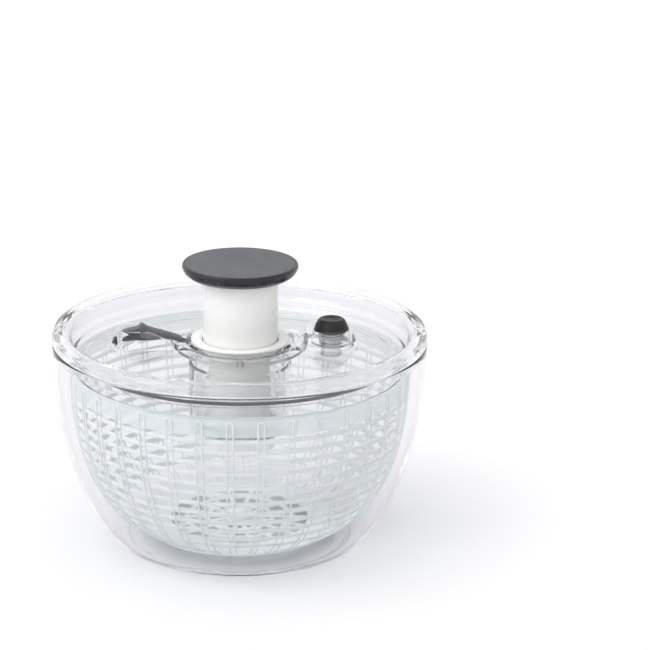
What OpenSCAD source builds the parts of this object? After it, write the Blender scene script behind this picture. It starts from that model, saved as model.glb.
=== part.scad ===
// Salad spinner with a push pump: clear bowl, slotted basket, clear lid with a
// spiral-screw pump, a brake button and a lever that locks the pump down.
// The origin is the middle of the bowl's underside. Z points up.

/* [Bowl] */
// Radius of the bowl at its rim
bowl_r = 133.5; // [125:0.5:140]
// Radius of the bowl's foot
foot_r = 80; // [70:1:90]
// Height of the bowl's rim
bowl_h = 149.8; // [149.6:0.1:149.8]
// Wall thickness of the bowl
bowl_wall = 2.8; // [2:0.1:3.2]

/* [Basket] */
// Radius of the basket's rim
basket_r = 120.5; // [118:0.5:122]
// Radius of the basket's flat floor
basket_floor_r = 55; // [45:1:60]
// Height of the underside of the basket's floor
basket_z = 11; // [10:0.5:13]
// Height of the basket's rim
basket_top = 132.6; // [132:0.1:133]
// Wall thickness of the basket
basket_wall = 1.6; // [1.2:0.1:2]
// Number of upright ribs round the basket
rib_count = 18; // [12:2:24]

/* [Pump] */
// Radius of the pump's white sleeve
sleeve_r = 26.7; // [26:0.1:27]
// Radius of the knob
knob_r = 41; // [38:0.5:44]
// Height of the knob's top with the pump up
knob_top = 205.5; // [205:0.5:208]
// Travel of the pump
stroke = 44; // [30:1:44]
// Height that the spiral screw climbs in one turn
screw_lead = 22; // [18:1:30]

/* [Brake and lock] */
// Distance of the brake button from the pump's axis
button_x = 65; // [60:1:70]
// Travel of the brake button
button_travel = 4; // [2:0.5:4]
// Travel of the lock lever towards the pump
lock_travel = 6; // [4:0.5:6]

/* [Hidden] */
$fn = 96;
eps = 0.01;

// bowl and basket curves
bowl_curve_h = 154;      // height at which the bowl's curve turns upright
bowl_floor = 5;          // top of the bowl's floor
pad_h = 1.8;             // thickness of the foot pad
pad_r = foot_r - 2;
pivot_r = 5;             // bowl's pivot post
pivot_top = 16;
fit_gap = 0.06;          // radial clearance of a running fit
curve_steps = 20;
basket_curve_h = basket_top - 1.6 - basket_z;
band_z = 117;            // underside of the basket's solid band
rim_z = 128;             // underside of the basket's thick rim
rim_wall = 2.6;
rib_w = 4.4;             // width of an upright rib
rib_top = 129.7;
rib_proud = 0.9;         // how far a rib stands out of the wall
slat_h = 2.8;            // height of a slat
slat_count = 12;         // slats below the solid band
slat_pitch = 7.95;
slat_top = 113;          // underside of the highest slat
socket_r = 9;            // basket's socket over the pivot post

// lid
lid_rest = 150.1;        // lid's underside on the bowl's rim
plate_in_z = 146.6;      // top of the lid's plate beside the collar
plate_out_z = 142.2;     // top of the lid's plate at its edge
plate_out_r = 114;
boss_r = 37.2;           // clear ring round the collar
collar_r = 35;
collar_top = 149.7;
collar_seat = 147.7;     // underside of the collar's flange
collar_bore = sleeve_r + 0.6;
barrel_r = 30;
wing_x = 76;             // centre of the lever wing's round end
wing_r = 13.2;           // radius of the lever wing's round end
button_wing_r = 15.6;    // radius of the button wing's round end
button_r = 12.7;
stem_r = 6.4;
shelf_z = 146;           // shelf in the lid that guides the brake stem
shelf_top = 147.6;
lever_w = 8.4;
wing_root = 14.5;        // half width of a wing at the collar
wing_skin = 2.2;
wing_top = 156.7;        // top of the lever's wing
button_wing_top = 157.9;
finger_r = 10.2;         // finger opening round the lever's end
well_bore = button_r + 0.6;
slot_w = 9.4;            // slot that the lock lever slides in

// pump mechanism, from the bottom up
hub_z = 68.4;
hub_floor = 70.6;
driver_z = 73;
driver_top = 77;
stub_z = 79;             // lower end of the housing's bearing stub
stub_r = 22;
hub_top = 87.2;
floor_z = 88;            // underside of the housing's floor
floor_top = 90.5;
housing_r = 32.5;
guide_r = 21.4;
guide_top = 140.5;
well_r = 36.5;           // outside of the drive plate's well
well_wall = 2;
plate_z = 129.5;         // underside of the drive plate
plate_h = 2;
plate_r = 117.6;
journal_r = 4.5;
thread_z = 93.4;
thread_top = 148;
blade_w = 9.6;           // the spiral screw's flat section
blade_h = 3.4;
nut_z = 141;
nut_h = 8;
tube_r = 12;
tube_bore = 9.4;
sleeve_z = 143;
sleeve_top = 198;
sleeve_wall = 2;
lug_count = 6;

function bowl_at(z) = foot_r + (bowl_r - foot_r)
    * pow(1 - pow(1 - z / bowl_curve_h, 2), 1 / 1.75);
function basket_at(z) = basket_floor_r + (basket_r - basket_floor_r)
    * sqrt(1 - pow(max(0, 1 - (z - basket_z) / basket_curve_h), 2.4));
// Heights from a to b, packed towards a, where the curves turn fastest
function heights(a, b, n) = [for (i = [0:n]) a + (b - a) * pow(i / n, 1.7)];
function backwards(list) = [for (i = [len(list) - 1:-1:0]) list[i]];
function arc(cx, cy, r, a0, a1, n) =
    [for (i = [0:n]) let (a = a0 + (a1 - a0) * i / n) [cx + r * cos(a), cy + r * sin(a)]];

module ring(r_out, r_in, z0, z1) {
    translate([0, 0, z0]) difference() {
        cylinder(r = r_out, h = z1 - z0);
        translate([0, 0, -1]) cylinder(r = r_in, h = z1 - z0 + 2);
    }
}

// Copies of a child round the Z axis
module around(count, radius, phase = 0) {
    for (i = [0:count - 1]) rotate(phase + i * 360 / count) translate([radius, 0, 0]) children();
}

// Wire coil from z0 to z1
module coil(radius, wire, z0, z1, turns, steps, sides) {
    count = turns * steps;
    points = [for (i = [0:count], k = [0:sides - 1]) let (
        a = i * 360 / steps,
        b = k * 360 / sides,
        r = radius + wire * cos(b))
        [r * cos(a), r * sin(a), z0 + wire + (z1 - z0 - 2 * wire) * i / count + wire * sin(b)]];
    sides_faces = [for (i = [0:count - 1], k = [0:sides - 1]) let (
        k2 = (k + 1) % sides,
        p = i * sides)
        [p + k, p + k2, p + sides + k2, p + sides + k]];
    ends = [[for (k = [sides - 1:-1:0]) k], [for (k = [0:sides - 1]) count * sides + k]];
    polyhedron(points = points, faces = concat(sides_faces, ends), convexity = 6);
}

module screw_solid(head_r, head_h, shank_r, length) {
    difference() {
        union() {
            translate([0, 0, -head_h]) cylinder(r = head_r, h = head_h);
            cylinder(r = shank_r, h = length);
        }
        for (a = [0, 90]) rotate(a) translate([-head_r * 0.6, -0.4, -head_h - eps])
            cube([head_r * 1.2, 0.8, head_h * 0.5]);
    }
}

// ---- bowl ----
module bowl() {
    outer = [for (z = heights(2, bowl_h, curve_steps)) [bowl_at(z), z]];
    inner = [for (z = heights(bowl_floor + 2, bowl_h, curve_steps)) [bowl_at(z) - bowl_wall, z]];
    color([0.92, 0.93, 0.97, 0.3]) difference() {
        union() {
            rotate_extrude() polygon(concat(
                [[0, pad_h], [pad_r, pad_h], [pad_r, 0.4], [foot_r, 0.4]],
                outer, backwards(inner),
                [[bowl_at(bowl_floor + 2) - bowl_wall - 5, bowl_floor], [0, bowl_floor]]));
            translate([0, 0, bowl_floor - 1]) cylinder(r1 = pivot_r + 5, r2 = pivot_r + 1, h = 4);
            translate([0, 0, bowl_floor - 1]) cylinder(r = pivot_r, h = pivot_top - bowl_floor + 1);
        }
    }
}

module foot_pad() {
    color([0.9, 0.9, 0.9]) difference() {
        cylinder(r = pad_r - 0.05, h = pad_h);
        translate([0, 0, -eps]) cylinder(r = pad_r - 14, h = 0.5);
    }
}

// ---- basket ----
// Band of the basket's wall from z0 to z1, from out to the wall's line to deep inside it
module basket_skin(z0, z1, out, deep, n) {
    zs = heights(z0, z1, n);
    rotate_extrude() polygon(concat(
        [for (z = zs) [basket_at(z) + out, z]],
        backwards([for (z = zs) [basket_at(z) - deep, z]])));
}

module basket_ribs() {
    intersection() {
        basket_skin(basket_z + 1, rib_top, rib_proud, basket_wall / 2, 9);
        for (i = [0:rib_count / 2 - 1]) rotate(86.8 + i * 360 / rib_count)
            translate([-basket_r - 5, -rib_w / 2, 0]) cube([2 * basket_r + 10, rib_w, rib_top + 5]);
    }
}

module basket() {
    color([0.87, 0.93, 0.9, 0.7]) difference() {
        union() {
            for (i = [0:slat_count - 1]) let (z = slat_top - i * slat_pitch) 
                basket_skin(z, z + slat_h, 0, basket_wall, 1);
            basket_skin(band_z, basket_top, 0, basket_wall, 1);
            basket_ribs();
            ring(basket_r + 0.5, basket_r - rim_wall, rim_z, basket_top);
            for (r = [24, 38]) ring(r + 3, r, basket_z, basket_z + 2);
            ring(basket_floor_r + 13, 50, basket_z, basket_z + 2);
            around(9, 0) translate([6, -2, basket_z + 0.3]) cube([48, 4, 1.4]);
            translate([0, 0, basket_z - 1]) cylinder(r = socket_r, h = 9);
        }
        translate([0, 0, basket_z - 2]) cylinder(r = pivot_r + fit_gap, h = pivot_top - basket_z + 2.3);
        around(lug_count, basket_r - rim_wall - 2) translate([0, -5.4, plate_z - 0.4]) cube([4.2, 10.8, 6]);
    }
}

// ---- lid ----
// Plan of a wing: a round end and a straight taper to the collar, g smaller all round
module wing_plan(x, r, g) {
    translate([x, 0]) circle(r = r - g);
    polygon([[32, -wing_root + g], [32, wing_root - g], [x, r - g], [x, g - r]]);
}

// A wing's long section, g below its top
module wing_section(x, r, top, g) {
    polygon([[32, 120], [32, 148.2 - g], [41, 148.6 - g], [x - 18, top - 3.4 - g],
             [x - 9, top - 0.4 - g], [x, top - g], [x + 5, top - g], [x + r - g, top - 2 - g],
             [x + r - g, 120]]);
}

module wing(x, r, top, g, z0) {
    intersection() {
        translate([0, 0, z0]) linear_extrude(height = 30) wing_plan(x, r, g);
        rotate([90, 0, 0]) translate([0, 0, -20]) linear_extrude(height = 40) wing_section(x, r, top, g);
    }
}

module wings(g, z0) {
    rotate(180) wing(wing_x, wing_r, wing_top, g, z0);
    wing(button_x, button_wing_r, button_wing_top, g, z0);
}

module lid_shell() {
    rotate_extrude() polygon(concat(
        [[barrel_r + 0.1, 144.1], [barrel_r + 0.1, collar_seat], [collar_r + 0.2, collar_seat],
         [collar_r + 0.2, 148.8], [boss_r, 148.8], [boss_r + 1, plate_in_z + 0.3],
         [boss_r + 3, plate_in_z], [75, 145.0], [plate_out_r, plate_out_z]],
        arc(plate_out_r, plate_out_z + 4, 4, -70, -15, 3),
        [[121.4, 154.6]],
        arc(127.4, 154.4, 4.6, 150, 90, 4),
        arc(127.4, 153, 6, 75, 0, 5),
        [[bowl_r - 0.1, 151.2], [bowl_r - 0.1, lid_rest], [129.9, lid_rest], [129.7, 142], [127.5, 142],
         [127.3, 152.6]],
        arc(126.4, 153.2, 2.4, 60, 150, 3),
        [[120, 147], [117, 140.6], [plate_out_r, 139.6], [75, 142.4], [47, 144.1]]));
}

module lid_cover() {
    color([0.93, 0.94, 0.98, 0.3]) difference() {
        union() {
            difference() {
                union() {
                    lid_shell();
                    difference() {
                        wings(0, 142.4);
                        translate([0, 0, 100]) cylinder(r = boss_r - 0.5, h = 60);
                        translate([0, 0, 100]) cylinder(r = 47, h = 44.1);
                    }
                }
                // hollow under each wing, open below
                difference() {
                    wings(wing_skin, 138);
                    translate([0, 0, 100]) cylinder(r = 47, h = 60);
                }
            }
            translate([button_x, 0, shelf_z]) cylinder(r = button_wing_r - 1, h = shelf_top - shelf_z);
        }
        // slot for the lock lever, with a wider finger opening at its outer end
        rotate(180) translate([boss_r - 8, -slot_w / 2, 143]) cube([wing_x - boss_r + 10, slot_w, 20]);
        rotate(180) translate([wing_x, 0, 143]) cylinder(r = finger_r, h = 20);
        // well for the brake button and hole for its stem
        translate([button_x, 0, shelf_top]) cylinder(r = well_bore, h = 20);
        translate([button_x, 0, 130]) cylinder(r = stem_r + 0.2, h = 40);
        // pilot holes for the housing's screws
        around(3, 42, 30) translate([0, 0, 143]) cylinder(r = 1.25, h = 2.2);
    }
}

module collar() {
    color("white") difference() {
        union() {
            ring(collar_r, collar_bore, collar_seat, collar_top);
            ring(barrel_r, collar_bore, 138, collar_seat + 0.5);
        }
        // groove round the sleeve
        ring(collar_bore + 1.2, collar_bore - 1, collar_top - 0.6, collar_top + 1);
        // way through for the lever's tongue
        rotate(180) translate([24, -4.2, 144.6]) cube([8, 8.4, 3.1]);
    }
}

module pump_housing() {
    color([0.92, 0.95, 0.96, 0.35]) difference() {
        union() {
            ring(46, barrel_r + 0.1, 141.6, 144.1);
            ring(housing_r, housing_r - 2, floor_z, 142);
            ring(housing_r, 8, floor_z, floor_top);
            ring(stub_r, 18.5, stub_z, floor_z + 0.5);
        }
        ring(stub_r + 1, stub_r - 1.2, 82, 83.4);
        around(3, 42, 30) translate([0, 0, 140]) cylinder(r = 1.8, h = 6);
    }
}

// Pale tube that stands in the housing and keeps the return spring straight
module spring_guide() {
    color([0.93, 0.94, 0.93]) {
        difference() {
            union() {
                translate([0, 0, floor_top]) cylinder(r = guide_r, h = guide_top - floor_top);
                translate([0, 0, floor_top]) cylinder(r = guide_r + 2.4, h = 1.4);
            }
            translate([0, 0, floor_top - 1]) cylinder(r = guide_r - 1.4, h = guide_top);
        }
    }
}

module housing_screws() {
    color("silver") around(3, 42, 30) translate([0, 0, 141.6]) screw_solid(3, 1.6, 1.2, 3.4);
}

module screw_bush() {
    color("ivory") difference() {
        union() {
            ring(7.95, journal_r + fit_gap, floor_z, floor_top);
            ring(10, journal_r + fit_gap, floor_top, floor_top + 0.8);
        }
    }
}

module retaining_ring() {
    color("silver") difference() {
        ring(23, stub_r - 1.15, 82.1, 83.3);
        translate([10, -3, 80]) cube([20, 6, 5]);
    }
}

// ---- drive: turns with the basket ----
module drive_plate() {
    color([0.93, 0.95, 0.97, 0.3]) difference() {
        union() {
            ring(plate_r, well_r - well_wall, plate_z, plate_z + plate_h);
            ring(well_r, well_r - well_wall, 84.2, plate_z + 0.5);
            ring(well_r, 25.1, 84.2, 86);
            ring(plate_r, plate_r - 1.8, plate_z - 4, plate_z + 0.5);
            around(lug_count, plate_r - 1) translate([0, -5, plate_z]) cube([2.5, 10, plate_h]);
        }
        around(3, 28.2) translate([0, 0, 80]) cylinder(r = 1.5, h = 10);
    }
}

module drive_hub() {
    color("white") difference() {
        union() {
            ring(25, stub_r + fit_gap, hub_floor - 0.5, hub_top);
            ring(31, 24, 81.8, 84.2);
            translate([0, 0, hub_z]) cylinder(r = 25, h = hub_floor - hub_z);
            difference() {
                ring(24, 18.2, hub_floor - 0.5, 78.4);
                around(24, 18.2) translate([0, 0, hub_floor]) cylinder(r = 0.9, h = 10);
            }
        }
        ring(23.4, stub_r - 1, 81.7, 83.7);
        around(3, 28.2) translate([0, 0, 80]) cylinder(r = 1.5, h = 10);
    }
}

module hub_screws() {
    color("silver") around(3, 28.2) translate([0, 0, 81.8]) screw_solid(2.6, 1.4, 1.4, 4);
}

// ---- spiral screw and clutch ----
// Flat blade twisted by one turn per lead, g thicker all round
module blade(z0, z1, g) {
    turn = 360 / screw_lead;
    x = blade_w / 2 + g;
    y = blade_h / 2 + g;
    translate([0, 0, z0]) rotate(turn * z0)
        linear_extrude(height = z1 - z0, twist = -turn * (z1 - z0), slices = ceil((z1 - z0) / 0.8), $fn = 8)
            polygon([[x, -y + 0.7], [x, y - 0.7], [x - 0.9, y], [0.9 - x, y],
                     [-x, y - 0.7], [-x, 0.7 - y], [0.9 - x, -y], [x - 0.9, -y]]);
}

module drive_screw() {
    color("gainsboro") difference() {
        union() {
            blade(thread_z - 0.5, thread_top, 0);
            translate([0, 0, floor_top + 0.9]) cylinder(r = 8, h = thread_z - floor_top - 0.9);
            translate([0, 0, driver_z]) cylinder(r = journal_r, h = thread_z - driver_z);
        }
        translate([0, 0, driver_z - 1]) cylinder(r = 1.45, h = 9);
    }
}

module clutch_driver() {
    color("orange") difference() {
        ring(12.8, journal_r + 0.01, driver_z, driver_top);
        around(3, 12.8) translate([0, 0, driver_z + 0.6]) cylinder(r = 2.4, h = 10);
    }
}

module clutch_pawls() {
    color("dimgray") around(3, 12.8) translate([0, 0, driver_z + 0.7]) {
        cylinder(r = 2.2, h = 3);
        translate([0.6, 0, 0]) cube([1.6, 6.5, 3]);
    }
}

module clutch_screw() {
    color("silver") translate([0, 0, driver_z]) screw_solid(6, 1.6, 1.4, 7);
}

// ---- pump: moves up and down ----
module knob_cap() {
    color([0.12, 0.12, 0.13]) difference() {
        rotate_extrude() polygon(concat(
            [[0, sleeve_top], [sleeve_r + 0.1, sleeve_top], [sleeve_r + 0.1, 195.6], [31, 195.3]],
            arc(knob_r - 8, knob_top - 2.4, 8, -75, 0, 5),
            [[knob_r - 0.3, knob_top - 1.1], [knob_r - 1.2, knob_top - 0.2], [knob_r - 1.9, knob_top - 0.2],
             [knob_r - 1.9, knob_top - 1.8], [0, knob_top - 1.8]]));
        translate([0, 0, 190]) cylinder(r = 2.1, h = 20);
        translate([0, 0, knob_top - 4]) cylinder(r = 4.2, h = 3);
    }
}

module knob_pad() {
    color([0.3, 0.31, 0.33]) rotate_extrude() polygon(concat(
        [[0, knob_top - 1.8], [knob_r - 2, knob_top - 1.8], [knob_r - 2, knob_top - 0.5]],
        [[knob_r - 2.6, knob_top - 0.1], [knob_r - 8, knob_top], [0, knob_top]]));
}

module knob_screw() {
    color("silver") translate([0, 0, knob_top - 4]) rotate([180, 0, 0]) screw_solid(4, 2, 1.9, 7);
}

module pump_sleeve() {
    color("white") difference() {
        ring(sleeve_r, sleeve_r - sleeve_wall, sleeve_z, sleeve_top);
        // channel for the lever's tongue, stopped by the catch that it locks over
        rotate(180) translate([sleeve_r - 1.5, -4.2, sleeve_z - 1]) cube([3, 8.4, 186.4 - sleeve_z]);
        rotate(180) translate([sleeve_r - 1.5, -4.2, 188.8]) cube([3, 8.4, 3.2]);
    }
}

module nut_tube() {
    color("white") difference() {
        union() {
            ring(tube_r, tube_bore, nut_z, 196);
            translate([0, 0, 194]) cylinder(r = sleeve_r - sleeve_wall - 0.05, h = sleeve_top - 194);
        }
        translate([0, 0, 194.4]) cylinder(r = 1.95, h = 20);
    }
}

module drive_nut() {
    color("orange") difference() {
        translate([0, 0, nut_z]) cylinder(r = tube_bore - 0.02, h = nut_h);
        blade(nut_z - 1, nut_z + nut_h + 1, 0.5);
    }
}

module return_spring() {
    color("silver") coil(18.2, 0.8, floor_top + 0.02, 193.98, 10, 18, 6);
}

// ---- brake ----
module brake_button() {
    color([0.1, 0.1, 0.1]) translate([button_x, 0, 0]) rotate_extrude() polygon(concat(
        [[0, 157.4], [6.6, 157.4], [6.6, 155.2], [button_r - 0.6, 155], [button_r, 155.8]],
        [[button_r - 0.9, 159]],
        arc(button_r - 5.4, 160.2, 4.2, 10, 75, 4),
        [[5, 163.9], [0, 163.4]]));
}

module brake_stem() {
    color([0.95, 0.95, 0.95]) translate([button_x, 0, 0]) {
        translate([0, 0, 141]) cylinder(r = stem_r, h = 16.4);
        translate([0, 0, 139.4]) cylinder(r = 7.6, h = 1.6);
    }
}

module brake_pad() {
    color("dimgray") translate([button_x, 0, 136]) cylinder(r = 7.6, h = 3.4);
}

module brake_clip() {
    color("silver") translate([button_x, 0, 0]) difference() {
        ring(8.4, stem_r + 0.01, shelf_z - 1, shelf_z - 0.1);
        translate([2, -2, shelf_z - 2]) cube([8, 4, 3]);
    }
}

module brake_spring() {
    color("silver") translate([button_x, 0, 0]) coil(8.6, 0.4, shelf_top + 0.02, 154.9, 4, 16, 6);
}

// ---- lock lever ----
module lock_lever() {
    step_x = collar_r + lock_travel + 0.6;
    tip_x = 79.6;
    section = [[31.6, 145], [31.6, 147.2], [step_x, 147.2], [step_x, 150.2], [44, 151], [55, 154.6],
               [63.5, 156.9], [67, 158.2], [69.2, 160.2], [71.2, 160.2], [73, 158],
               [tip_x + 4.2, 155], [tip_x + 4.2, 153.4], [68, 149.4], [58, 148.6], [44, 147],
               [step_x, 145]];
    color([0.22, 0.22, 0.24]) rotate(180) {
        intersection() {
            rotate([90, 0, 0]) translate([0, 0, -lever_w / 2]) linear_extrude(height = lever_w) polygon(section);
            union() {
                translate([28, -3.6, 140]) cube([step_x - 27, 7.2, 7.2]);
                translate([step_x, -lever_w / 2, 140]) cube([tip_x - step_x, lever_w, 30]);
                translate([tip_x, 0, 140]) cylinder(r = lever_w / 2, h = 30);
            }
        }
        // runners that hold the lever under the wing's skin
        translate([60, -6.6, 148.1]) cube([6, 13.2, 1.4]);
    }
}

bowl();
foot_pad();
basket();
lid_cover();
collar();
pump_housing();
spring_guide();
housing_screws();
screw_bush();
retaining_ring();
drive_plate();
drive_hub();
hub_screws();
drive_screw();
clutch_driver();
clutch_pawls();
clutch_screw();
knob_cap();
knob_pad();
knob_screw();
pump_sleeve();
nut_tube();
drive_nut();
return_spring();
brake_button();
brake_stem();
brake_pad();
brake_clip();
brake_spring();
lock_lever();
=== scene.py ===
# Looks for the salad spinner: clear bowl and lid, milky basket, push pump, brake and lock.
# Sizes are in millimetres in the profiles and become metres as each mesh is made.
import math
import bmesh
import bpy
from mathutils import Matrix, Vector
from mathutils.geometry import delaunay_2d_cdt


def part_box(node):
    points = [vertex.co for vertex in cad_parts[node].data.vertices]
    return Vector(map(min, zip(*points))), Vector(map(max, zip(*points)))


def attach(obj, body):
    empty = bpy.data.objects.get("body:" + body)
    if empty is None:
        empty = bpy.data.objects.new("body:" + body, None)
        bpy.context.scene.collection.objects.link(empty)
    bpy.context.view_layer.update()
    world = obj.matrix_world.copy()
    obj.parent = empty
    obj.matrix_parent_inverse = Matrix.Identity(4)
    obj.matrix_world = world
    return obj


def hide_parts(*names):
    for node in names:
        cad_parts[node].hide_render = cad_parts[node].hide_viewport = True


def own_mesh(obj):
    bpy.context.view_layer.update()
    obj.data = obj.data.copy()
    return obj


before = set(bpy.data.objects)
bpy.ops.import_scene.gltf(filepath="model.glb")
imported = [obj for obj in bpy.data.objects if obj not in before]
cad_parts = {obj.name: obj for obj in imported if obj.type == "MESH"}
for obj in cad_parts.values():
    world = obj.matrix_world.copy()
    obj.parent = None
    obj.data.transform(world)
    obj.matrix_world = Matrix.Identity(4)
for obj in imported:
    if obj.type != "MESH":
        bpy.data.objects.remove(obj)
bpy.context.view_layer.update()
MM = 0.001


# ---------------------------------------------------------------- sizes from the frame
def top_of(node):
    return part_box(node)[1].z / MM


def bottom_of(node):
    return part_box(node)[0].z / MM


def radius_of(node):
    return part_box(node)[1].x / MM


BOWL_R = radius_of("bowl")
BOWL_TOP = top_of("bowl")
KNOB_R = radius_of("knob_cap")
KNOB_TOP = top_of("knob_pad")
SLEEVE_R = radius_of("pump_sleeve")
BASKET_Z = bottom_of("basket") + 1
BASKET_TOP = top_of("basket")
BUTTON_LO, BUTTON_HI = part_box("brake_button")
BUTTON_X = (BUTTON_LO.x + BUTTON_HI.x) / 2 / MM
BUTTON_R = (BUTTON_HI.x - BUTTON_LO.x) / 2 / MM

FOOT_R = 80
WALL = 2.8
BASKET_R = 120.5
BASKET_FLOOR_R = 55
RIBS = 36
RIB_PHASE = -93.2
SLATS = 12
SLAT_PITCH = 7.95
SLAT_Z = 114.4
BAND_Z = 118.0
ROUND = 192          # segments of a large round piece
BOSS_R = 38.5        # where the plate meets the collar's boss
PLATE_R = 114        # where the plate meets the rim
WING_X = 76
SLOT_HALF = 4.7
FINGER_X = 76
FINGER_R = 10.2
BUTTON_WELL_R = BUTTON_R + 0.6
RAIL_R = 0.58        # round edge of a basket rib


# ---------------------------------------------------------------- mesh helpers
def mesh_object(name, verts, faces, smooth_angle=None):
    mesh = bpy.data.meshes.new(name)
    mesh.from_pydata([Vector(v) * MM for v in verts], [], faces)
    obj = bpy.data.objects.new(name, mesh)
    bpy.context.scene.collection.objects.link(obj)
    bm = bmesh.new()
    bm.from_mesh(mesh)
    bmesh.ops.remove_doubles(bm, verts=bm.verts, dist=1e-6)
    bmesh.ops.recalc_face_normals(bm, faces=bm.faces)
    bm.to_mesh(mesh)
    bm.free()
    for p in mesh.polygons:
        p.use_smooth = True
    if smooth_angle is not None:
        mesh.set_sharp_from_angle(angle=math.radians(smooth_angle))
    return obj


def arc(cx, cz, r, a0, a1, n):
    return [(cx + r * math.cos(math.radians(a0 + (a1 - a0) * i / n)),
             cz + r * math.sin(math.radians(a0 + (a1 - a0) * i / n))) for i in range(n + 1)]


def rounded(corners, closed=True, steps=5):
    """Corners are (r, z, fillet radius); each corner with a radius becomes a short curve."""
    out = []
    count = len(corners)
    for i, (x, z, rad) in enumerate(corners):
        p = Vector((x, z))
        if rad <= 0 or (not closed and i in (0, count - 1)):
            out.append((x, z))
            continue
        a = Vector(corners[i - 1][:2])
        b = Vector(corners[(i + 1) % count][:2])
        da, db = (a - p), (b - p)
        half = max(da.angle(db, 1.0) / 2, 0.05)
        reach = min(rad / math.tan(half), da.length * 0.49, db.length * 0.49)
        start, end = p + da.normalized() * reach, p + db.normalized() * reach
        for k in range(steps + 1):
            t = k / steps
            q = start * (1 - t) ** 2 + p * 2 * t * (1 - t) + end * t ** 2
            out.append((q.x, q.y))
    return out


def revolve_data(profile, segments=ROUND, closed=True, start=0.0, sweep=360.0):
    """Vertices and faces of a profile of (r, z) turned round Z."""
    verts, faces = [], []
    full = abs(sweep - 360) < 1e-6
    turns = segments if full else segments + 1
    n = len(profile)
    for i in range(turns):
        a = math.radians(start + sweep * i / segments)
        verts += [(r * math.cos(a), r * math.sin(a), z) for r, z in profile]
    for i in range(segments):
        j = (i + 1) % turns
        for k in range(n if closed else n - 1):
            m = (k + 1) % n
            if profile[k][0] < 1e-6 and profile[m][0] < 1e-6:
                continue
            faces.append((i * n + k, j * n + k, j * n + m, i * n + m))
    if not full and closed:
        faces.append(tuple(range(n)))
        faces.append(tuple(range((turns - 1) * n, turns * n)))
    return verts, faces


def revolve(name, profile, segments=ROUND, centre=(0, 0), smooth_angle=35, closed=True):
    verts, faces = revolve_data(profile, segments, closed)
    verts = [(x + centre[0], y + centre[1], z) for x, y, z in verts]
    return mesh_object(name, verts, faces, smooth_angle)


class Pile:
    """Several simple shapes that become one mesh."""

    def __init__(self):
        self.verts, self.faces = [], []

    def add(self, verts, faces):
        base = len(self.verts)
        self.verts += list(verts)
        self.faces += [tuple(i + base for i in f) for f in faces]

    def turned(self, verts, faces, angle):
        c, s = math.cos(math.radians(angle)), math.sin(math.radians(angle))
        self.add([(x * c - y * s, x * s + y * c, z) for x, y, z in verts], faces)

    def tube(self, path, radius, sides=8):
        """A round tube along a path of points, closed at both ends."""
        pts = [Vector(p) for p in path]
        verts, faces = [], []
        count = len(pts)
        up = Vector((0, 0, 1))
        last = None
        for i, p in enumerate(pts):
            before = pts[max(i - 1, 0)]
            after = pts[min(i + 1, count - 1)]
            along = (after - before).normalized()
            side = along.cross(up if last is None else last)
            if side.length < 1e-4:
                side = along.cross(Vector((1, 0, 0)))
            side.normalize()
            last = side.cross(along).normalized()
            for k in range(sides):
                a = 2 * math.pi * k / sides
                verts.append(tuple(p + (side * math.cos(a) + last * math.sin(a)) * radius))
        for i in range(count - 1):
            for k in range(sides):
                m = (k + 1) % sides
                faces.append((i * sides + k, i * sides + m, (i + 1) * sides + m, (i + 1) * sides + k))
        faces.append(tuple(range(sides)))
        faces.append(tuple(range((count - 1) * sides, count * sides)))
        self.add(verts, faces)

    def build(self, name, smooth_angle=40):
        return mesh_object(name, self.verts, self.faces, smooth_angle)


# ---------------------------------------------------------------- materials
def node_material(name):
    mat = bpy.data.materials.new(name)
    mat.use_nodes = True
    nt = mat.node_tree
    shader = nt.nodes["Principled BSDF"]
    coords = nt.nodes.new("ShaderNodeTexCoord")
    return mat, nt, shader, coords.outputs["Object"]


def noise(nt, where, scale, detail=4.0, stretch=None):
    tex = nt.nodes.new("ShaderNodeTexNoise")
    tex.inputs["Scale"].default_value = scale
    tex.inputs["Detail"].default_value = detail
    if stretch:
        mapping = nt.nodes.new("ShaderNodeMapping")
        mapping.inputs["Scale"].default_value = stretch
        nt.links.new(where, mapping.inputs["Vector"])
        where = mapping.outputs["Vector"]
    nt.links.new(where, tex.inputs["Vector"])
    return tex.outputs["Fac"]


def spread(nt, value, low, high, from_min=0.3, from_max=0.7):
    node = nt.nodes.new("ShaderNodeMapRange")
    node.inputs["From Min"].default_value = from_min
    node.inputs["From Max"].default_value = from_max
    node.inputs["To Min"].default_value = low
    node.inputs["To Max"].default_value = high
    nt.links.new(value, node.inputs["Value"])
    return node.outputs["Result"]


def tint(nt, value, dark, light):
    ramp = nt.nodes.new("ShaderNodeValToRGB")
    ramp.color_ramp.elements[0].position = 0.3
    ramp.color_ramp.elements[1].position = 0.7
    ramp.color_ramp.elements[0].color = (*dark, 1)
    ramp.color_ramp.elements[1].color = (*light, 1)
    nt.links.new(value, ramp.inputs["Fac"])
    return ramp.outputs["Color"]


def bump(nt, height, shader, strength, distance=0.0002):
    node = nt.nodes.new("ShaderNodeBump")
    node.inputs["Strength"].default_value = strength
    node.inputs["Distance"].default_value = distance
    nt.links.new(height, node.inputs["Height"])
    nt.links.new(node.outputs["Normal"], shader.inputs["Normal"])


def plastic(name, dark, light, rough, grain=900.0, grain_strength=0.15, wear=25.0, **sockets):
    """Moulded plastic or rubber: slight colour drift, uneven gloss and a fine grain."""
    mat, nt, shader, where = node_material(name)
    nt.links.new(tint(nt, noise(nt, where, wear), dark, light), shader.inputs["Base Color"])
    nt.links.new(spread(nt, noise(nt, where, wear * 4), rough[0], rough[1]), shader.inputs["Roughness"])
    bump(nt, noise(nt, where, grain, 2.0), shader, grain_strength)
    for key, value in sockets.items():
        shader.inputs[key.replace("_", " ")].default_value = value
    return mat


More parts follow.
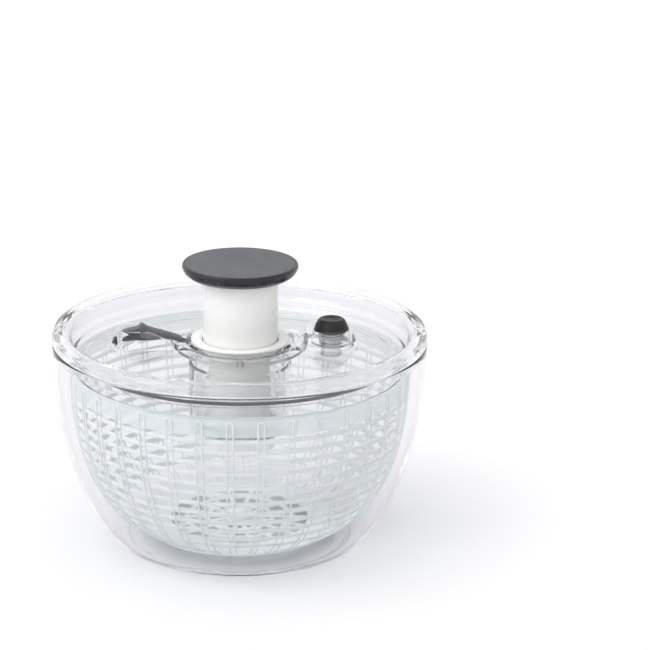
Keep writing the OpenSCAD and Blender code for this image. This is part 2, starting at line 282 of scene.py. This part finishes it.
def metal(name, dark, light, rough, stretch):
    mat, nt, shader, where = node_material(name)
    lines = noise(nt, where, 300.0, 3.0, stretch)
    nt.links.new(tint(nt, lines, dark, light), shader.inputs["Base Color"])
    nt.links.new(spread(nt, lines, rough[0], rough[1]), shader.inputs["Roughness"])
    bump(nt, lines, shader, 0.12)
    shader.inputs["Metallic"].default_value = 1.0
    return mat


def pale_shadow(mat, shade):
    """Lets lamps through the material, tinted by shade, as the real plastic does."""
    nt = mat.node_tree
    path = nt.nodes.new("ShaderNodeLightPath")
    through = nt.nodes.new("ShaderNodeBsdfTransparent")
    through.inputs["Color"].default_value = (*shade, 1)
    mix = nt.nodes.new("ShaderNodeMixShader")
    nt.links.new(path.outputs["Is Shadow Ray"], mix.inputs[0])
    nt.links.new(nt.nodes["Principled BSDF"].outputs[0], mix.inputs[1])
    nt.links.new(through.outputs[0], mix.inputs[2])
    nt.links.new(mix.outputs[0], nt.nodes["Material Output"].inputs["Surface"])
    return mat


def clear_plastic(name, colour, ior, shade, coat=0.7):
    """Clear plastic with faint handling marks. Its low index of refraction keeps the rims soft."""
    mat, nt, shader, where = node_material(name)
    shader.inputs["Base Color"].default_value = (*colour, 1)
    shader.inputs["Transmission Weight"].default_value = 1.0
    shader.inputs["IOR"].default_value = ior
    shader.inputs["Coat Weight"].default_value = coat
    shader.inputs["Coat Roughness"].default_value = 0.02
    nt.links.new(spread(nt, noise(nt, where, 40.0, 6.0), 0.0, 0.06), shader.inputs["Roughness"])
    bump(nt, noise(nt, where, 18.0, 2.0), shader, 0.04, 0.0004)
    return pale_shadow(mat, shade)


def give(obj, mat):
    obj.data.materials.clear()
    obj.data.materials.append(mat)


def cad(node, mat, bevel=0.0):
    """Re-materials a CAD node whose shape is right, with softened edges."""
    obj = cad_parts[node]
    for i in range(max(1, len(obj.material_slots))):
        if obj.material_slots:
            obj.material_slots[i].material = mat
        else:
            obj.data.materials.append(mat)
    if bevel:
        weld = obj.modifiers.new("weld", "WELD")
        weld.merge_threshold = 1e-6
        mod = obj.modifiers.new("edge", "BEVEL")
        mod.width = bevel * MM
        mod.segments = 2
        mod.limit_method = "ANGLE"
        mod.angle_limit = math.radians(40)
        mod.harden_normals = True


def place(obj, mat, body, slot, *nodes):
    """Gives a piece its material and body, and hides the CAD nodes that it replaces. The slot argument is not
    used.
    """
    give(obj, mat)
    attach(obj, body)
    if nodes:
        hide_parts(*nodes)
    return obj


CLEAR_BOWL = clear_plastic("clear_bowl", (0.93, 0.925, 0.952), 1.15, (0.955, 0.955, 0.965))
CLEAR_LID = clear_plastic("clear_lid", (0.975, 0.975, 0.985), 1.14, (0.965, 0.965, 0.97))
CLEAR_PLATE = clear_plastic("clear_plate", (0.97, 0.98, 0.98), 1.12, (0.985, 0.985, 0.985), 0.4)
CLEAR_HOUSING = clear_plastic("housing_clear", (0.96, 0.97, 0.965), 1.17, (0.98, 0.98, 0.98), 0.5)
WHITE = plastic("white_plastic", (0.94, 0.94, 0.92), (0.955, 0.955, 0.94), (0.26, 0.36), 1200.0, 0.03)
GUIDE = plastic("guide_pale", (0.8, 0.82, 0.79), (0.86, 0.87, 0.85), (0.25, 0.4), 900.0, 0.05, Alpha=0.9)
BASKET_RIB = plastic("basket_rib", (0.81, 0.86, 0.835), (0.85, 0.895, 0.87), (0.28, 0.42), 700.0, 0.05,
                     Transmission_Weight=0.08)
pale_shadow(BASKET_RIB, (0.78, 0.8, 0.79))
BASKET_BAND = plastic("basket_band", (0.76, 0.835, 0.81), (0.82, 0.88, 0.86), (0.3, 0.45), 700.0, 0.05,
                      Alpha=0.5)
BLACK_GLOSS = plastic("black_gloss", (0.012, 0.012, 0.013), (0.02, 0.02, 0.022), (0.2, 0.3), 1500.0, 0.03,
                      Specular_IOR_Level=0.4)
SLATE_SOFT = plastic("slate_soft", (0.1, 0.104, 0.112), (0.116, 0.121, 0.13), (0.5, 0.62), 2600.0, 0.35)
BLACK_SOFT = plastic("black_soft", (0.01, 0.01, 0.01), (0.02, 0.02, 0.02), (0.34, 0.46), 1800.0, 0.15,
                     Specular_IOR_Level=0.35)
LEVER_DARK = plastic("lever_dark", (0.1, 0.103, 0.112), (0.125, 0.128, 0.138), (0.4, 0.55), 1500.0, 0.15)
PAD_WHITE = plastic("pad_white", (0.9, 0.91, 0.89), (0.94, 0.945, 0.93), (0.5, 0.65), 1400.0, 0.2)
PAD_RUBBER = plastic("pad_rubber", (0.74, 0.74, 0.73), (0.8, 0.8, 0.79), (0.6, 0.75), 1400.0, 0.3)
ACETAL = plastic("clutch_acetal", (0.66, 0.66, 0.63), (0.74, 0.74, 0.71), (0.3, 0.42), 900.0, 0.05)
IVORY = plastic("bush_ivory", (0.7, 0.67, 0.58), (0.78, 0.75, 0.66), (0.3, 0.42), 900.0, 0.05)
STEEL = metal("steel", (0.42, 0.43, 0.45), (0.62, 0.63, 0.65), (0.2, 0.36), (1, 1, 12))
WIRE = metal("spring_steel", (0.36, 0.37, 0.39), (0.55, 0.56, 0.58), (0.22, 0.38), (6, 6, 1))


# ---------------------------------------------------------------- bowl
def bowl_at(z, curve_h=154.0):
    lift = max(0.0, 1 - (1 - z / curve_h) ** 2)
    return FOOT_R + (BOWL_R - FOOT_R) * lift ** (1 / 1.75)


def eased(a, b, n, power=1.8):
    return [a + (b - a) * (i / n) ** power for i in range(n + 1)]


def make_bowl():
    outer = [(bowl_at(z), z) for z in eased(1.6, BOWL_TOP - 1.2, 56)]
    inner = [(bowl_at(z) - WALL, z) for z in eased(9.0, BOWL_TOP - 1.2, 44)]
    foot = arc(FOOT_R - 0.6, 2.2, 1.8, -90, -25, 5)
    lip = arc(outer[-1][0] - WALL / 2, BOWL_TOP - 1.2, WALL / 2, 0, 180, 8)
    lip = [(r, BOWL_TOP - 1.2 + (z - BOWL_TOP + 1.2) * 0.85) for r, z in lip]
    corner_r, corner_z = inner[0]
    floor = rounded([(corner_r, corner_z, 0), (corner_r - 9, 5, 12), (14, 5, 6), (6.5, 8, 3), (5, 9.5, 2),
                     (5, 15, 1.2), (3.4, 16, 1), (0, 16, 0)], closed=False)
    profile = [(0, 1.85), (FOOT_R - 2.2, 1.85), (FOOT_R - 2.0, 0.45)] + foot + outer[1:-1] + lip
    profile += inner[::-1][1:-1] + floor
    obj = revolve("bowl_clear", profile, 256, smooth_angle=50, closed=False)
    return place(obj, CLEAR_BOWL, "bowl", "clear_bowl", "bowl")


def make_foot_pad():
    """Non-slip pad with raised rings on its underside."""
    r = FOOT_R - 2.1
    under = [(0, 0.5), (r - 14, 0.5)]
    for i in range(6):
        x = r - 13.5 + i * 2.2
        under += [(x, 0.45), (x + 0.3, 0.0), (x + 1.4, 0.0), (x + 1.7, 0.45)]
    profile = under + [(r, 0.3), (r, 1.7), (r - 0.3, 1.8), (0, 1.8)]
    obj = revolve("foot_pad_rings", profile, 128, smooth_angle=30, closed=False)
    return place(obj, PAD_WHITE, "bowl", "pad_white", "foot_pad")


# ---------------------------------------------------------------- basket
def basket_at(z):
    curve = BASKET_TOP - 1.6 - BASKET_Z
    left = max(0.0, 1 - (z - BASKET_Z) / curve)
    return BASKET_FLOOR_R + (BASKET_R - BASKET_FLOOR_R) * math.sqrt(max(0.0, 1 - left ** 2.4))


def on_wall(angle, z, across, out):
    """A point on the basket's wall, across mm along it from the angle, out mm proud of it."""
    r = basket_at(z) + out
    a = math.radians(angle) + across / max(r, 1.0)
    return (r * math.cos(a), r * math.sin(a), z)


def hairpin(angle, half=2.15, low=12.5, top=129.0):
    """The line of one rib's round edge: up one side, round the top and down the other."""
    heights = eased(low, top - half, 26, 1.5)
    bend = [(half * math.cos(math.radians(t)), top - half + half * math.sin(math.radians(t)))
            for t in range(20, 161, 20)]
    line = [(half, z) for z in heights] + bend + [(-half, z) for z in heights[::-1]]
    return [on_wall(angle, z, t, 0.35) for t, z in line]


def slat(z, height=3.1, deep=1.8):
    """Rounded cross-section of one ring of slats, leaning with the wall."""
    low, high = z - height / 2, z + height / 2
    a, b = basket_at(low), basket_at(high)
    return rounded([(a, low, 0.7), (b, high, 0.7), (b - deep, high, 0.5), (a - deep, low, 0.5)], steps=3)


def make_basket():
    ribs = Pile()
    for i in range(RIBS):
        angle = RIB_PHASE + i * 360 / RIBS
        ribs.tube(hairpin(angle), RAIL_R, 6)
    for i in range(SLATS):
        ribs.add(*revolve_data(slat(SLAT_Z - i * SLAT_PITCH), ROUND))
    for r0, r1 in ((22, 26), (36, 40), (50, 70)):
        ribs.add(*revolve_data(rounded([(r0, BASKET_Z, 0.6), (r1, BASKET_Z, 0.6), (r1, BASKET_Z + 2, 0.6),
                                        (r0, BASKET_Z + 2, 0.6)], steps=3), ROUND))
    half = 1.7
    pts = [(7, -half), (52, -half), (52, half), (7, half)]
    for i in range(18):
        verts = [(x, y, BASKET_Z + 0.2) for x, y in pts] + [(x, y, BASKET_Z + 1.8) for x, y in pts]
        faces = [(0, 1, 2, 3), (4, 5, 6, 7), (0, 1, 5, 4), (1, 2, 6, 5), (2, 3, 7, 6), (3, 0, 4, 7)]
        ribs.turned(verts, faces, i * 20)
    socket = rounded([(5.1, 10.2, 0), (9, 10.2, 0.8), (9.4, 17, 2.5), (5, 19.4, 2), (0, 19.6, 0)],
                     closed=False)
    bore = [(0, 16.4), (4.4, 16.4), (5.1, 15.6), (5.1, 10.2)]
    ribs.add(*revolve_data(bore + socket[1:], 64, closed=False))
    lattice = place(ribs.build("basket_lattice"), BASKET_RIB, "basket", "basket_milky", "basket")
    band = rounded([(basket_at(BAND_Z), BAND_Z, 0.5), (BASKET_R, 124, 0), (BASKET_R + 0.1, 130.4, 0.6),
                    (BASKET_R + 0.55, 131.2, 0.5), (BASKET_R + 0.55, BASKET_TOP, 0.6),
                    (BASKET_R - 1.0, BASKET_TOP, 0.6), (BASKET_R - 1.1, 124, 0),
                    (basket_at(BAND_Z) - 1.5, BAND_Z, 0.5)], steps=4)
    place(revolve("basket_band", band, 256), BASKET_BAND, "basket", "basket_milky", "basket")
    return lattice


# ---------------------------------------------------------------- lid
def smooth(a, b, x):
    t = min(1.0, max(0.0, (x - a) / (b - a)))
    return t * t * (3 - 2 * t)


def plate_top(r):
    """The lid's plate is a shallow dome, highest beside the collar."""
    t = (r - BOSS_R) / (PLATE_R - BOSS_R)
    return 146.6 - 4.4 * t ** 1.3 if t > 0 else 146.6


def plate_under(r):
    low = plate_top(r) - 2.5
    return low if r > 50 else min(low, 144.1) * (1 - smooth(46, 50, r)) + low * smooth(46, 50, r)


def wing_half(x, end_x, end_r):
    """Half width of a wing at x: it flares into the collar's boss and ends in a round."""
    flare = 9.0 * math.exp(-max(0.0, x - 30) / 7.0)
    waist = 14.5 + (end_r - 14.5) * smooth(44, end_x - 2, x)
    return waist + flare


def wing_inside(x, y, end_x, end_r):
    """How far inside a wing's outline a point is, in mm, roughly."""
    if x > end_x:
        return end_r - math.hypot(x - end_x, y)
    half = wing_half(x, end_x, end_r)
    slope = wing_half(x + 0.5, end_x, end_r) - wing_half(x - 0.5, end_x, end_r)
    return (half - abs(y)) / math.sqrt(1 + slope * slope)


def wing_height(x, end_x, top):
    return 147.6 + (top - 147.6) * smooth(38, end_x - 5, x) ** 0.9 - 1.5 * smooth(end_x + 6, end_x + 15, x)


WINGS = ((1, BUTTON_X, BUTTON_R + 2.9, 157.9), (-1, WING_X, 13.2, 156.7))


def lid_surface(x, y, under=False):
    r = math.hypot(x, y)
    z = plate_under(r) if under else plate_top(r)
    for side, end_x, end_r, top in WINGS:
        along = x * side
        if along < 20 or along > end_x + end_r + 8:
            continue
        inside = wing_inside(along, y, end_x, end_r)
        if under:
            share = smooth(0.4, 5.4, inside - 0.9) * smooth(46, 50, r)
            z += (wing_height(along, end_x, top) - 2.2 - z) * share
        else:
            z += (wing_height(along, end_x, top) - z) * smooth(-4.2, 2.0, inside)
    return z


def circle_points(cx, cy, r, n, start=0.0, sweep=360.0, ends=False):
    count = n + 1 if ends else n
    return [(cx + r * math.cos(math.radians(start + sweep * i / n)),
             cy + r * math.sin(math.radians(start + sweep * i / n))) for i in range(count)]


def slot_loop():
    """The plate's inner edge: round the collar's boss, then out along the lever's slot and back."""
    gap = math.degrees(math.asin(SLOT_HALF / BOSS_R))
    boss = circle_points(0, 0, BOSS_R, 120, -180 + gap, 360 - 2 * gap, ends=True)
    bend = math.degrees(math.asin(SLOT_HALF / FINGER_R))
    start_x = boss[-1][0]
    near_x = -FINGER_X + FINGER_R * math.cos(math.radians(bend))
    steps = 26
    out_side = [(start_x + (near_x - start_x) * i / steps, SLOT_HALF) for i in range(1, steps)]
    finger = circle_points(-FINGER_X, 0, FINGER_R, 40, bend, 360 - 2 * bend, ends=True)
    back = [(x, -y) for x, y in out_side[::-1]]
    return boss + out_side + finger + back


def make_lid():
    outer = circle_points(0, 0, PLATE_R, ROUND)
    inner = slot_loop()
    button = circle_points(BUTTON_X, 0, BUTTON_WELL_R, 72)
    points, edges = [], []
    for loop in (outer, inner, button):
        base = len(points)
        points += loop
        edges += [(base + i, base + (i + 1) % len(loop)) for i in range(len(loop))]
    loops = (outer, inner, button)

    def near_wing(x, y, margin):
        return any(20 < x * s < ex + er + margin and abs(y) < 32 and
                   wing_inside(x * s, y, ex, er) > -margin for s, ex, er, _ in WINGS)

    def far_from_edges(x, y, gap):
        if math.hypot(x, y) < BOSS_R + gap or math.hypot(x - BUTTON_X, y) < BUTTON_WELL_R + gap:
            return False
        if math.hypot(x + FINGER_X, y) < FINGER_R + gap:
            return False
        return not (-FINGER_X < x < -30 and abs(y) < SLOT_HALF + gap)

    rings = 22
    for i in range(1, rings):
        r = BOSS_R + (PLATE_R - BOSS_R) * i / rings
        count = 128
        for x, y in circle_points(0, 0, r, count, i * 180 / count):
            if far_from_edges(x, y, 1.0) and not near_wing(x, y, 5.4):
                points.append((x, y))
    pitch = 0.8
    for i in range(int(70 / pitch)):
        for j in range(int(62 / pitch)):
            x0, y0 = 27 + i * pitch, -31 + (j + 0.5 * (i % 2)) * pitch
            for side in (1, -1):
                x = x0 * side
                if math.hypot(x, y0) < PLATE_R - 3 and near_wing(x, y0, 5.0) and far_from_edges(x, y0, 0.45):
                    points.append((x, y0))
    out = delaunay_2d_cdt([Vector(p) for p in points], edges, [], 0, 1e-6)
    flat = [tuple(v) for v in out[0]]

    def kept(face):
        x = sum(flat[i][0] for i in face) / 3
        y = sum(flat[i][1] for i in face) / 3
        r = math.hypot(x, y)
        if r > PLATE_R or r < BOSS_R * 0.9996 - 0.02:
            return False
        return far_from_edges(x, y, 0.0)

    tris = [f for f in out[2] if kept(f)]
    n = len(flat)
    verts = [(x, y, lid_surface(x, y)) for x, y in flat] + [(x, y, lid_surface(x, y, True)) for x, y in flat]
    faces = [tuple(f) for f in tris] + [tuple(i + n for i in f[::-1]) for f in tris]
    used = {}
    for f in tris:
        for k in range(3):
            edge = (f[k], f[(k + 1) % 3])
            key = tuple(sorted(edge))
            used.setdefault(key, []).append(edge)
    for key, uses in used.items():
        if len(uses) != 1:
            continue
        a, b = uses[0]
        middle = math.hypot((flat[a][0] + flat[b][0]) / 2, (flat[a][1] + flat[b][1]) / 2)
        at_rim = middle > PLATE_R - 1
        at_boss = middle < BOSS_R + 0.02 and abs(math.hypot(*flat[a]) - math.hypot(*flat[b])) < 0.02
        if at_rim or at_boss:
            continue
        faces.append((b, a, a + n, b + n))
    pile = Pile()
    pile.add(verts, faces)
    pile.add(*revolve_data(rim_profile(), ROUND, closed=False))
    gap = math.degrees(math.asin(SLOT_HALF / BOSS_R))
    boss = [(BOSS_R, plate_top(BOSS_R)), (37.9, 147.2), (37.5, 148.3), (37.0, 148.8), (36.0, 148.85),
            (35.3, 148.6), (35.2, 147.6), (30.2, 147.6), (30.2, 144.1), (BOSS_R, 144.1)]
    verts, faces = revolve_data(boss, 120, closed=False, start=-180 + gap, sweep=360 - 2 * gap)
    pile.add(verts, faces + [tuple(range(len(boss))), tuple(range(120 * len(boss), 121 * len(boss)))])
    lid = place(pile.build("lid_clear", 48), CLEAR_LID, "lid", "clear_lid", "lid_cover")
    wide = BUTTON_R + 1.6
    shelf = rounded([(6.7, 146, 0.3), (wide, 146, 0.3), (wide, 147.6, 0.3), (6.7, 147.6, 0.3)], steps=3)
    place(revolve("brake_shelf", shelf, 64, (BUTTON_X, 0)), CLEAR_LID, "lid", "clear_lid")
    return lid


def rim_profile():
    """From the plate's top edge out over the rim and back to its underside."""
    corners = [(PLATE_R, plate_top(PLATE_R), 0), (118.2, 142.2, 4.5), (121.0, 153.6, 1.0),
               (121.9, 155.6, 0.8),
               (124.4, 158.4, 2.0), (127.6, 159.0, 3.0), (132.4, 157.4, 3.2), (BOWL_R - 0.1, 153.6, 2.2),
               (BOWL_R - 0.1, 150.1, 0.7), (130.0, 150.1, 0.3), (129.6, 142.0, 0.9), (127.7, 142.0, 0.9),
               (127.4, 152.4, 2.2), (125.8, 155.6, 1.6), (123.6, 154.8, 1.6), (120.2, 146.0, 2.0),
               (117.0, 139.4, 3.0), (PLATE_R, plate_under(PLATE_R), 0)]
    return rounded(corners, closed=False, steps=6)


# ---------------------------------------------------------------- pump
def make_knob():
    top = KNOB_TOP
    r = KNOB_R
    cap = rounded([(0, 198, 0), (SLEEVE_R + 0.15, 198, 0.2), (SLEEVE_R + 0.15, 195.7, 0.3),
                   (31.0, 195.2, 0.6),
                   (36.0, 196.2, 3.0), (39.6, 199.0, 3.0), (r + 0.2, 202.4, 1.5), (r, 204.4, 0.7),
                   (r - 0.9, 205.2, 0.4), (r - 1.9, 205.1, 0.2), (r - 1.9, 203.7, 0.1), (0, 203.7, 0)],
                  closed=False, steps=7)
    place(revolve("knob_cap_shell", cap, 160, closed=False), BLACK_GLOSS, "pump", "black_gloss", "knob_cap")
    pad = rounded([(0, 203.72, 0), (r - 2.0, 203.72, 0.1), (r - 2.0, top - 0.35, 0.25),
                   (r - 2.6, top - 0.02, 0.5),
                   (r - 9, top, 4.0), (0, top - 0.25, 0)], closed=False, steps=5)
    place(revolve("knob_top_pad", pad, 160, closed=False), SLATE_SOFT, "pump", "slate_soft", "knob_pad")


def coil(radius, wire, low, high, turns, steps=40, centre=0.0):
    """A spring with closed end turns."""
    count = int(turns * steps)
    pts = []
    for i in range(count + 1):
        t = i / count
        turn = t * turns
        rise = smooth(0.0, 1.0, (t - 0.06) / 0.88) * 0.25 + min(1.0, max(0.0, (t - 0.06) / 0.88)) * 0.75
        z = low + wire + (high - low - 2 * wire) * rise
        a = 2 * math.pi * turn
        pts.append((centre + radius * math.cos(a), radius * math.sin(a), z))
    return pts


def make_springs():
    pile = Pile()
    low, high = bottom_of("return_spring"), top_of("return_spring")
    pile.tube(coil(18.2, 0.8, low, high, 11), 0.8, 8)
    spring = place(pile.build("return_coil"), WIRE, "lid", "spring_steel", "return_spring")
    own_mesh(spring)
    pile = Pile()
    low, high = bottom_of("brake_spring"), top_of("brake_spring")
    pile.tube(coil(8.6, 0.4, low, high, 4.5, 32, BUTTON_X), 0.4, 6)
    spring = place(pile.build("brake_coil"), WIRE, "lid", "spring_steel", "brake_spring")
    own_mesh(spring)


# ---------------------------------------------------------------- brake and lock
def make_brake():
    r = BUTTON_R
    low = bottom_of("brake_button")
    top = top_of("brake_button")
    button = rounded([(0, 157.4, 0), (6.6, 157.4, 0.2), (6.6, low + 0.6, 0.2), (r - 0.7, low, 0.4),
                      (r, low + 0.8, 0.5), (r - 1.1, low + 4.4, 2.5), (r - 2.9, top - 1.3, 1.6),
                      (r - 4.6, top, 1.2), (6.4, top - 0.2, 1.5), (4.0, top - 1.0, 2.0), (0, top - 1.1, 0)],
                     closed=False, steps=7)
    place(revolve("brake_button_cap", button, 96, (BUTTON_X, 0), closed=False), BLACK_SOFT, "brake",
          "black_soft", "brake_button")
    stem = rounded([(0, 139.5, 0), (6.6, 139.5, 1.4), (7.4, 140.6, 0.6), (6.4, 142.2, 1.2), (6.4, 157.3, 0.2),
                    (0, 157.3, 0)], closed=False, steps=6)
    place(revolve("brake_stem_round", stem, 64, (BUTTON_X, 0), closed=False), WHITE, "brake",
          "white_plastic", "brake_stem")
    pad = rounded([(0, 136, 0), (7.5, 136, 0.6), (7.5, 139.4, 0.6), (0, 139.4, 0)], closed=False, steps=4)
    place(revolve("brake_pad_round", pad, 64, (BUTTON_X, 0), closed=False), PAD_RUBBER, "brake",
          "pad_rubber", "brake_pad")


def make_lever():
    """Lock lever: a low arm that climbs from a thin tongue to a raised finger tab."""
    stations = [(31.6, 3.5, 145.1, 147.1), (40.9, 3.5, 145.1, 147.1), (41.6, 4.1, 145.2, 149.6),
                (42.4, 4.2, 145.8, 150.6), (46, 4.2, 147.2, 151.8), (50.5, 4.2, 148.0, 153.2),
                (55, 4.2, 148.5, 154.7), (60, 4.2, 148.8, 156.0), (63.5, 4.2, 149.1, 157.0),
                (66.5, 4.2, 149.5, 158.0), (68.4, 4.2, 149.8, 159.5), (69.6, 4.2, 150.1, 160.2),
                (70.9, 4.2, 151.6, 160.0), (72.0, 4.2, 152.8, 158.6), (73.4, 4.2, 153.6, 157.5),
                (77, 4.1, 154.2, 156.7), (80, 3.7, 153.9, 155.9), (82, 3.0, 153.7, 155.4),
                (83.3, 1.8, 153.7, 155.0), (83.8, 0.7, 153.9, 154.7)]
    sides = 20
    verts, faces = [], []
    for x, half, low, high in stations:
        mid, tall = (low + high) / 2, (high - low) / 2
        for k in range(sides):
            a = 2 * math.pi * k / sides
            c, s = math.cos(a), math.sin(a)
            p = 0.42
            y = half * math.copysign(abs(c) ** p, c)
            z = mid + tall * math.copysign(abs(s) ** p, s)
            verts.append((-x, y, z))
    count = len(stations)
    for i in range(count - 1):
        for k in range(sides):
            m = (k + 1) % sides
            faces.append((i * sides + k, i * sides + m, i * sides + sides + m, i * sides + sides + k))
    faces += [tuple(range(sides)), tuple(range((count - 1) * sides, count * sides))]
    pile = Pile()
    pile.add(verts, faces)
    obj = pile.build("lock_lever_arm", 50)
    return place(obj, LEVER_DARK, "lock", "lever_dark", "lock_lever")


def dress_cad():
    cad("collar", WHITE, 0.35)
    cad("pump_sleeve", WHITE, 0.4)
    cad("pump_housing", CLEAR_HOUSING, 0.3)
    cad("spring_guide", GUIDE, 0.3)
    cad("nut_tube", WHITE, 0.3)
    cad("drive_plate", CLEAR_PLATE, 0.3)
    cad("drive_hub", WHITE, 0.25)
    cad("drive_nut", ACETAL)
    cad("drive_screw", STEEL)
    cad("clutch_driver", ACETAL, 0.2)
    cad("clutch_pawls", ACETAL, 0.2)
    cad("screw_bush", IVORY, 0.2)
    for node in ("housing_screws", "hub_screws", "clutch_screw", "knob_screw", "retaining_ring",
                 "brake_clip"):
        cad(node, STEEL, 0.15)


# ---------------------------------------------------------------- stage
def make_floor():
    mesh = bpy.data.meshes.new("floor")
    half = 6.0
    corners = [(-half, -half, 0), (half, -half, 0), (half, half, 0), (-half, half, 0)]
    mesh.from_pydata(corners, [], [(0, 1, 2, 3)])
    floor = bpy.data.objects.new("floor", mesh)
    bpy.context.scene.collection.objects.link(floor)
    mat, nt, shader, where = node_material("floor_paper")
    paper = tint(nt, noise(nt, where, 3.0), (0.93, 0.93, 0.935), (0.95, 0.95, 0.95))
    nt.links.new(paper, shader.inputs["Base Color"])
    shader.inputs["Roughness"].default_value = 0.85
    shader.inputs["Specular IOR Level"].default_value = 0.1
    give(floor, mat)


def make_light():
    """A white studio, brightest in front and a little darker to the right, lit from the left."""
    world = bpy.data.worlds.new("studio")
    bpy.context.scene.world = world
    world.use_nodes = True
    nt = world.node_tree
    back = nt.nodes["Background"]
    coords = nt.nodes.new("ShaderNodeTexCoord")
    split = nt.nodes.new("ShaderNodeSeparateXYZ")
    nt.links.new(coords.outputs["Generated"], split.inputs[0])
    side = spread(nt, split.outputs["X"], 1.0, 0.7, 0.0, 0.95)
    front = spread(nt, split.outputs["Y"], 1.16, 0.92, -0.9, 0.1)
    both = nt.nodes.new("ShaderNodeMath")
    both.operation = "MULTIPLY"
    nt.links.new(side, both.inputs[0])
    nt.links.new(front, both.inputs[1])
    nt.links.new(both.outputs[0], back.inputs["Strength"])
    back.inputs["Color"].default_value = (1.0, 1.0, 1.0, 1)
    sun = bpy.data.lights.new("window", "SUN")
    sun.energy = 0.95
    sun.angle = math.radians(42)
    lamp = bpy.data.objects.new("window", sun)
    lamp.rotation_mode = "QUATERNION"
    lamp.rotation_quaternion = Vector((0.78, 0.34, -0.9)).to_track_quat("-Z", "Y")
    bpy.context.scene.collection.objects.link(lamp)


def make_camera():
    """Long lens, about 20 degrees above the table, with the object left of the middle."""
    cam = bpy.data.cameras.new("camera")
    cam.lens = 130.0
    cam.sensor_width = 36.0
    obj = bpy.data.objects.new("camera", cam)
    bpy.context.scene.collection.objects.link(obj)
    elevation, distance = math.radians(20.4), 1.7
    target = Vector((0, 0, 0.07185))
    forward = Vector((0, math.cos(elevation), -math.sin(elevation)))
    obj.location = target - forward * distance
    left, below = math.radians(2.072), math.radians(2.804)
    obj.rotation_mode = "QUATERNION"
    look = forward.to_track_quat("-Z", "Y")
    turn = Matrix.Rotation(-left, 4, "Y") @ Matrix.Rotation(below, 4, "X")
    obj.rotation_quaternion = (look.to_matrix().to_4x4() @ turn).to_quaternion()
    bpy.context.scene.camera = obj


make_camera()
make_bowl()
make_foot_pad()
make_basket()
make_lid()
make_knob()
make_springs()
make_brake()
make_lever()
dress_cad()
make_floor()
make_light()
scene = bpy.context.scene
scene.view_settings.view_transform = "Standard"
scene.cycles.max_bounces = 24
scene.cycles.transmission_bounces = 24
scene.cycles.transparent_max_bounces = 24
